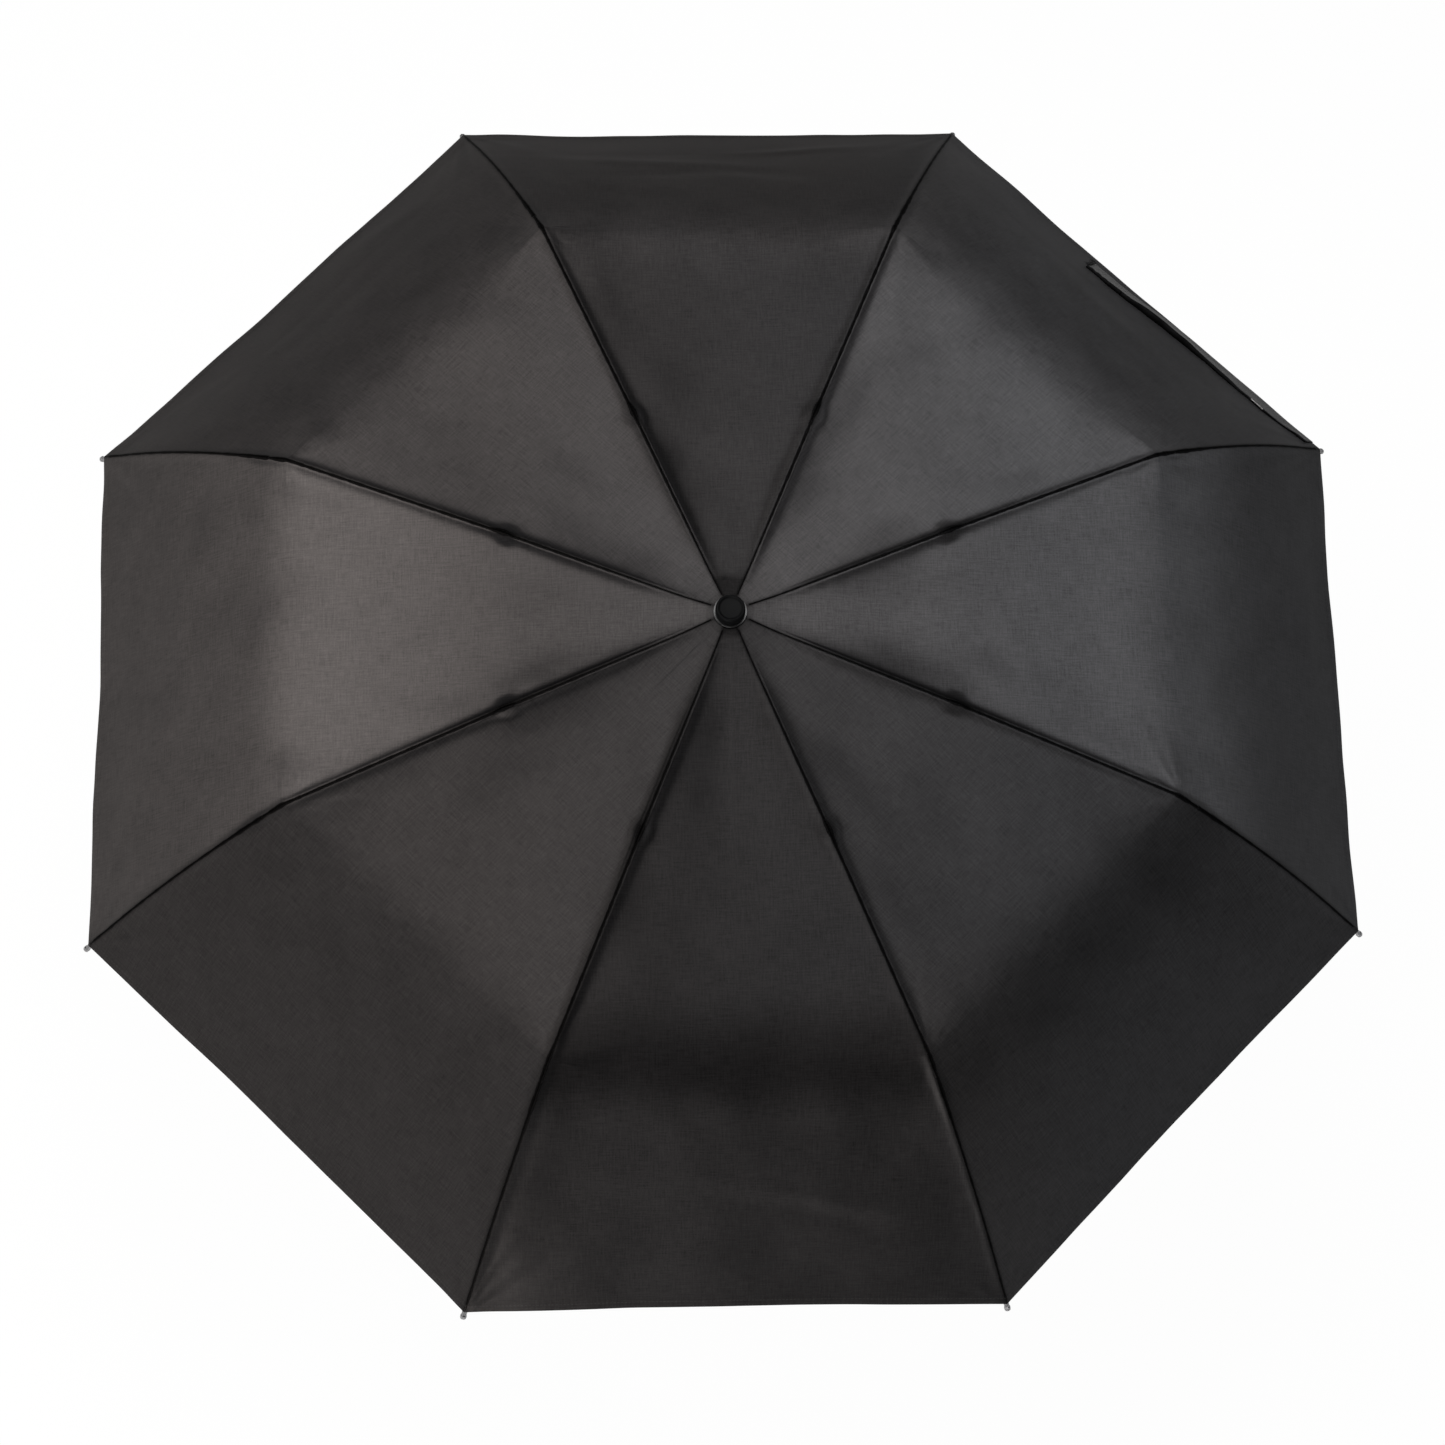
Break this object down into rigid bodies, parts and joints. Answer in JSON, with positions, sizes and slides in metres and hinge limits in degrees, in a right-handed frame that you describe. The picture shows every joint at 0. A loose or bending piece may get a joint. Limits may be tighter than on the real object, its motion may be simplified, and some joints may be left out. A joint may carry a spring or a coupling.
{
  "type": "folding umbrella",
  "caption": "Compact folding umbrella, open: an angular dark cloth canopy on jointed three-part ribs, over a telescopic shaft with a short handle and wrist cord.",
  "frame": {"origin": "centre of the flat face at the handle's end", "axes": "+Z along the shaft towards the top cap; +X through the runner's latch, midway between two ribs; +Y completes a right-handed frame"},
  "size_m": [0.8966, 0.8966, 0.6346],
  "materials": {
    "canopy_cloth": "fine plain weave, soft satin",
    "strap_cloth": "doubled cloth band, stitched",
    "black_plastic": "semi-gloss moulded",
    "painted_steel": "black satin",
    "bright_steel": "bright drawn",
    "spring_wire": "bright wire",
    "tip_metal": "nickel plated",
    "grip_rubber": "soft-touch matte",
    "woven_cord": "woven cord"
  },
  "bodies": {
    "handle": {"handle_grip": "grip_rubber", "end_cap": "black_plastic", "lower_tube": "bright_steel"},
    "middle_shaft": {"middle_tube": "bright_steel", "lower_collar": "black_plastic"},
    "upper_shaft": {"upper_tube": "painted_steel", "upper_collar": "black_plastic", "crown": "black_plastic", "crown_wire": "spring_wire", "cloth_washer": "black_plastic", "top_cap": "black_plastic", "canopy": "canopy_cloth", "closure_strap": "strap_cloth"},
    "runner": {"runner": "black_plastic"},
    "runner_latch": {"runner_latch": "black_plastic"},
    "wrist_cord": {"wrist_cord": "woven_cord"},
    "top_rib_1": {"top_rib_1": "painted_steel"},
    "stretcher_1": {"stretcher_1": "bright_steel"},
    "middle_rib_1": {"middle_rib_1": "painted_steel"},
    "outer_rib_1": {"outer_rib_1": "bright_steel", "rib_tip_1": "tip_metal"},
    "top_rib_2": {"top_rib_2": "painted_steel"},
    "stretcher_2": {"stretcher_2": "bright_steel"},
    "middle_rib_2": {"middle_rib_2": "painted_steel"},
    "outer_rib_2": {"outer_rib_2": "bright_steel", "rib_tip_2": "tip_metal"},
    "top_rib_3": {"top_rib_3": "painted_steel"},
    "stretcher_3": {"stretcher_3": "bright_steel"},
    "middle_rib_3": {"middle_rib_3": "painted_steel"},
    "outer_rib_3": {"outer_rib_3": "bright_steel", "rib_tip_3": "tip_metal"},
    "top_rib_4": {"top_rib_4": "painted_steel"},
    "stretcher_4": {"stretcher_4": "bright_steel"},
    "middle_rib_4": {"middle_rib_4": "painted_steel"},
    "outer_rib_4": {"outer_rib_4": "bright_steel", "rib_tip_4": "tip_metal"},
    "top_rib_5": {"top_rib_5": "painted_steel"},
    "stretcher_5": {"stretcher_5": "bright_steel"},
    "middle_rib_5": {"middle_rib_5": "painted_steel"},
    "outer_rib_5": {"outer_rib_5": "bright_steel", "rib_tip_5": "tip_metal"},
    "top_rib_6": {"top_rib_6": "painted_steel"},
    "stretcher_6": {"stretcher_6": "bright_steel"},
    "middle_rib_6": {"middle_rib_6": "painted_steel"},
    "outer_rib_6": {"outer_rib_6": "bright_steel", "rib_tip_6": "tip_metal"},
    "top_rib_7": {"top_rib_7": "painted_steel"},
    "stretcher_7": {"stretcher_7": "bright_steel"},
    "middle_rib_7": {"middle_rib_7": "painted_steel"},
    "outer_rib_7": {"outer_rib_7": "bright_steel", "rib_tip_7": "tip_metal"},
    "top_rib_8": {"top_rib_8": "painted_steel"},
    "stretcher_8": {"stretcher_8": "bright_steel"},
    "middle_rib_8": {"middle_rib_8": "painted_steel"},
    "outer_rib_8": {"outer_rib_8": "bright_steel", "rib_tip_8": "tip_metal"}
  },
  "joints": [
    {"name": "lower_telescope", "type": "slide", "parent": "handle", "child": "middle_shaft", "axis": [0, 0, -1], "range_m": [0, 0.128]},
    {"name": "upper_telescope", "type": "slide", "parent": "middle_shaft", "child": "upper_shaft", "axis": [0, 0, -1], "range_m": [0, 0.137]},
    {"name": "runner_slide", "type": "slide", "parent": "upper_shaft", "child": "runner", "axis": [0, 0, -1], "range_m": [0, 0.13439], "deforming": ["canopy", "closure_strap"]},
    {"name": "latch_press", "type": "hinge", "parent": "runner", "child": "runner_latch", "pos_m": [0.0092, 0, 0.4769], "axis": [0, 1, 0], "range_deg": [0, 7], "stiffness_Nm_per_rad": 0.15},
    {"name": "cord_swing", "type": "hinge", "parent": "handle", "child": "wrist_cord", "pos_m": [-0.0164, 0, 0.003], "axis": [0, 1, 0], "range_deg": [-30, 150]},
    {"name": "crown_pivot_1", "type": "hinge", "parent": "upper_shaft", "child": "top_rib_1", "pos_m": [0.0097, 0.00402, 0.531], "axis": [-0.3827, 0.9239, 0], "range_deg": [0, 87.05]},
    {"name": "stretcher_pivot_1", "type": "hinge", "parent": "top_rib_1", "child": "stretcher_1", "pos_m": [0.08715, 0.0361, 0.52561], "axis": [-0.3827, 0.9239, 0], "range_deg": [-153.71, 0]},
    {"name": "inner_fold_1", "type": "hinge", "parent": "top_rib_1", "child": "middle_rib_1", "pos_m": [0.15371, 0.06367, 0.52453], "axis": [-0.3827, 0.9239, 0], "range_deg": [-182.55, 0]},
    {"name": "outer_fold_1", "type": "hinge", "parent": "middle_rib_1", "child": "outer_rib_1", "pos_m": [0.30239, 0.12525, 0.50562], "axis": [-0.3827, 0.9239, 0], "range_deg": [0, 144.75]},
    {"name": "crown_pivot_2", "type": "hinge", "parent": "upper_shaft", "child": "top_rib_2", "pos_m": [0.00402, 0.0097, 0.531], "axis": [-0.9239, 0.3827, 0], "range_deg": [0, 87.05]},
    {"name": "stretcher_pivot_2", "type": "hinge", "parent": "top_rib_2", "child": "stretcher_2", "pos_m": [0.0361, 0.08715, 0.52561], "axis": [-0.9239, 0.3827, 0], "range_deg": [-153.71, 0]},
    {"name": "inner_fold_2", "type": "hinge", "parent": "top_rib_2", "child": "middle_rib_2", "pos_m": [0.06367, 0.15371, 0.52453], "axis": [-0.9239, 0.3827, 0], "range_deg": [-182.55, 0]},
    {"name": "outer_fold_2", "type": "hinge", "parent": "middle_rib_2", "child": "outer_rib_2", "pos_m": [0.12525, 0.30239, 0.50562], "axis": [-0.9239, 0.3827, 0], "range_deg": [0, 144.75]},
    {"name": "crown_pivot_3", "type": "hinge", "parent": "upper_shaft", "child": "top_rib_3", "pos_m": [-0.00402, 0.0097, 0.531], "axis": [-0.9239, -0.3827, 0], "range_deg": [0, 87.05]},
    {"name": "stretcher_pivot_3", "type": "hinge", "parent": "top_rib_3", "child": "stretcher_3", "pos_m": [-0.0361, 0.08715, 0.52561], "axis": [-0.9239, -0.3827, 0], "range_deg": [-153.71, 0]},
    {"name": "inner_fold_3", "type": "hinge", "parent": "top_rib_3", "child": "middle_rib_3", "pos_m": [-0.06367, 0.15371, 0.52453], "axis": [-0.9239, -0.3827, 0], "range_deg": [-182.55, 0]},
    {"name": "outer_fold_3", "type": "hinge", "parent": "middle_rib_3", "child": "outer_rib_3", "pos_m": [-0.12525, 0.30239, 0.50562], "axis": [-0.9239, -0.3827, 0], "range_deg": [0, 144.75]},
    {"name": "crown_pivot_4", "type": "hinge", "parent": "upper_shaft", "child": "top_rib_4", "pos_m": [-0.0097, 0.00402, 0.531], "axis": [-0.3827, -0.9239, 0], "range_deg": [0, 87.05]},
    {"name": "stretcher_pivot_4", "type": "hinge", "parent": "top_rib_4", "child": "stretcher_4", "pos_m": [-0.08715, 0.0361, 0.52561], "axis": [-0.3827, -0.9239, 0], "range_deg": [-153.71, 0]},
    {"name": "inner_fold_4", "type": "hinge", "parent": "top_rib_4", "child": "middle_rib_4", "pos_m": [-0.15371, 0.06367, 0.52453], "axis": [-0.3827, -0.9239, 0], "range_deg": [-182.55, 0]},
    {"name": "outer_fold_4", "type": "hinge", "parent": "middle_rib_4", "child": "outer_rib_4", "pos_m": [-0.30239, 0.12525, 0.50562], "axis": [-0.3827, -0.9239, 0], "range_deg": [0, 144.75]},
    {"name": "crown_pivot_5", "type": "hinge", "parent": "upper_shaft", "child": "top_rib_5", "pos_m": [-0.0097, -0.00402, 0.531], "axis": [0.3827, -0.9239, 0], "range_deg": [0, 87.05]},
    {"name": "stretcher_pivot_5", "type": "hinge", "parent": "top_rib_5", "child": "stretcher_5", "pos_m": [-0.08715, -0.0361, 0.52561], "axis": [0.3827, -0.9239, 0], "range_deg": [-153.71, 0]},
    {"name": "inner_fold_5", "type": "hinge", "parent": "top_rib_5", "child": "middle_rib_5", "pos_m": [-0.15371, -0.06367, 0.52453], "axis": [0.3827, -0.9239, 0], "range_deg": [-182.55, 0]},
    {"name": "outer_fold_5", "type": "hinge", "parent": "middle_rib_5", "child": "outer_rib_5", "pos_m": [-0.30239, -0.12525, 0.50562], "axis": [0.3827, -0.9239, 0], "range_deg": [0, 144.75]},
    {"name": "crown_pivot_6", "type": "hinge", "parent": "upper_shaft", "child": "top_rib_6", "pos_m": [-0.00402, -0.0097, 0.531], "axis": [0.9239, -0.3827, 0], "range_deg": [0, 87.05]},
    {"name": "stretcher_pivot_6", "type": "hinge", "parent": "top_rib_6", "child": "stretcher_6", "pos_m": [-0.0361, -0.08715, 0.52561], "axis": [0.9239, -0.3827, 0], "range_deg": [-153.71, 0]},
    {"name": "inner_fold_6", "type": "hinge", "parent": "top_rib_6", "child": "middle_rib_6", "pos_m": [-0.06367, -0.15371, 0.52453], "axis": [0.9239, -0.3827, 0], "range_deg": [-182.55, 0]},
    {"name": "outer_fold_6", "type": "hinge", "parent": "middle_rib_6", "child": "outer_rib_6", "pos_m": [-0.12525, -0.30239, 0.50562], "axis": [0.9239, -0.3827, 0], "range_deg": [0, 144.75]},
    {"name": "crown_pivot_7", "type": "hinge", "parent": "upper_shaft", "child": "top_rib_7", "pos_m": [0.00402, -0.0097, 0.531], "axis": [0.9239, 0.3827, 0], "range_deg": [0, 87.05]},
    {"name": "stretcher_pivot_7", "type": "hinge", "parent": "top_rib_7", "child": "stretcher_7", "pos_m": [0.0361, -0.08715, 0.52561], "axis": [0.9239, 0.3827, 0], "range_deg": [-153.71, 0]},
    {"name": "inner_fold_7", "type": "hinge", "parent": "top_rib_7", "child": "middle_rib_7", "pos_m": [0.06367, -0.15371, 0.52453], "axis": [0.9239, 0.3827, 0], "range_deg": [-182.55, 0]},
    {"name": "outer_fold_7", "type": "hinge", "parent": "middle_rib_7", "child": "outer_rib_7", "pos_m": [0.12525, -0.30239, 0.50562], "axis": [0.9239, 0.3827, 0], "range_deg": [0, 144.75]},
    {"name": "crown_pivot_8", "type": "hinge", "parent": "upper_shaft", "child": "top_rib_8", "pos_m": [0.0097, -0.00402, 0.531], "axis": [0.3827, 0.9239, 0], "range_deg": [0, 87.05]},
    {"name": "stretcher_pivot_8", "type": "hinge", "parent": "top_rib_8", "child": "stretcher_8", "pos_m": [0.08715, -0.0361, 0.52561], "axis": [0.3827, 0.9239, 0], "range_deg": [-153.71, 0]},
    {"name": "inner_fold_8", "type": "hinge", "parent": "top_rib_8", "child": "middle_rib_8", "pos_m": [0.15371, -0.06367, 0.52453], "axis": [0.3827, 0.9239, 0], "range_deg": [-182.55, 0]},
    {"name": "outer_fold_8", "type": "hinge", "parent": "middle_rib_8", "child": "outer_rib_8", "pos_m": [0.30239, -0.12525, 0.50562], "axis": [0.3827, 0.9239, 0], "range_deg": [0, 144.75]}
  ],
  "couplings": [
    {"joint": "crown_pivot_1", "follows": "runner_slide", "rad_per_m": 11.298},
    {"joint": "stretcher_pivot_1", "follows": "runner_slide", "rad_per_m": -19.955},
    {"joint": "inner_fold_1", "follows": "runner_slide", "rad_per_m": -23.701},
    {"joint": "outer_fold_1", "follows": "runner_slide", "rad_per_m": 18.792},
    {"joint": "crown_pivot_2", "follows": "runner_slide", "rad_per_m": 11.298},
    {"joint": "stretcher_pivot_2", "follows": "runner_slide", "rad_per_m": -19.955},
    {"joint": "inner_fold_2", "follows": "runner_slide", "rad_per_m": -23.701},
    {"joint": "outer_fold_2", "follows": "runner_slide", "rad_per_m": 18.792},
    {"joint": "crown_pivot_3", "follows": "runner_slide", "rad_per_m": 11.298},
    {"joint": "stretcher_pivot_3", "follows": "runner_slide", "rad_per_m": -19.955},
    {"joint": "inner_fold_3", "follows": "runner_slide", "rad_per_m": -23.701},
    {"joint": "outer_fold_3", "follows": "runner_slide", "rad_per_m": 18.792},
    {"joint": "crown_pivot_4", "follows": "runner_slide", "rad_per_m": 11.298},
    {"joint": "stretcher_pivot_4", "follows": "runner_slide", "rad_per_m": -19.955},
    {"joint": "inner_fold_4", "follows": "runner_slide", "rad_per_m": -23.701},
    {"joint": "outer_fold_4", "follows": "runner_slide", "rad_per_m": 18.792},
    {"joint": "crown_pivot_5", "follows": "runner_slide", "rad_per_m": 11.298},
    {"joint": "stretcher_pivot_5", "follows": "runner_slide", "rad_per_m": -19.955},
    {"joint": "inner_fold_5", "follows": "runner_slide", "rad_per_m": -23.701},
    {"joint": "outer_fold_5", "follows": "runner_slide", "rad_per_m": 18.792},
    {"joint": "crown_pivot_6", "follows": "runner_slide", "rad_per_m": 11.298},
    {"joint": "stretcher_pivot_6", "follows": "runner_slide", "rad_per_m": -19.955},
    {"joint": "inner_fold_6", "follows": "runner_slide", "rad_per_m": -23.701},
    {"joint": "outer_fold_6", "follows": "runner_slide", "rad_per_m": 18.792},
    {"joint": "crown_pivot_7", "follows": "runner_slide", "rad_per_m": 11.298},
    {"joint": "stretcher_pivot_7", "follows": "runner_slide", "rad_per_m": -19.955},
    {"joint": "inner_fold_7", "follows": "runner_slide", "rad_per_m": -23.701},
    {"joint": "outer_fold_7", "follows": "runner_slide", "rad_per_m": 18.792},
    {"joint": "crown_pivot_8", "follows": "runner_slide", "rad_per_m": 11.298},
    {"joint": "stretcher_pivot_8", "follows": "runner_slide", "rad_per_m": -19.955},
    {"joint": "inner_fold_8", "follows": "runner_slide", "rad_per_m": -23.701},
    {"joint": "outer_fold_8", "follows": "runner_slide", "rad_per_m": 18.792}
  ]
}
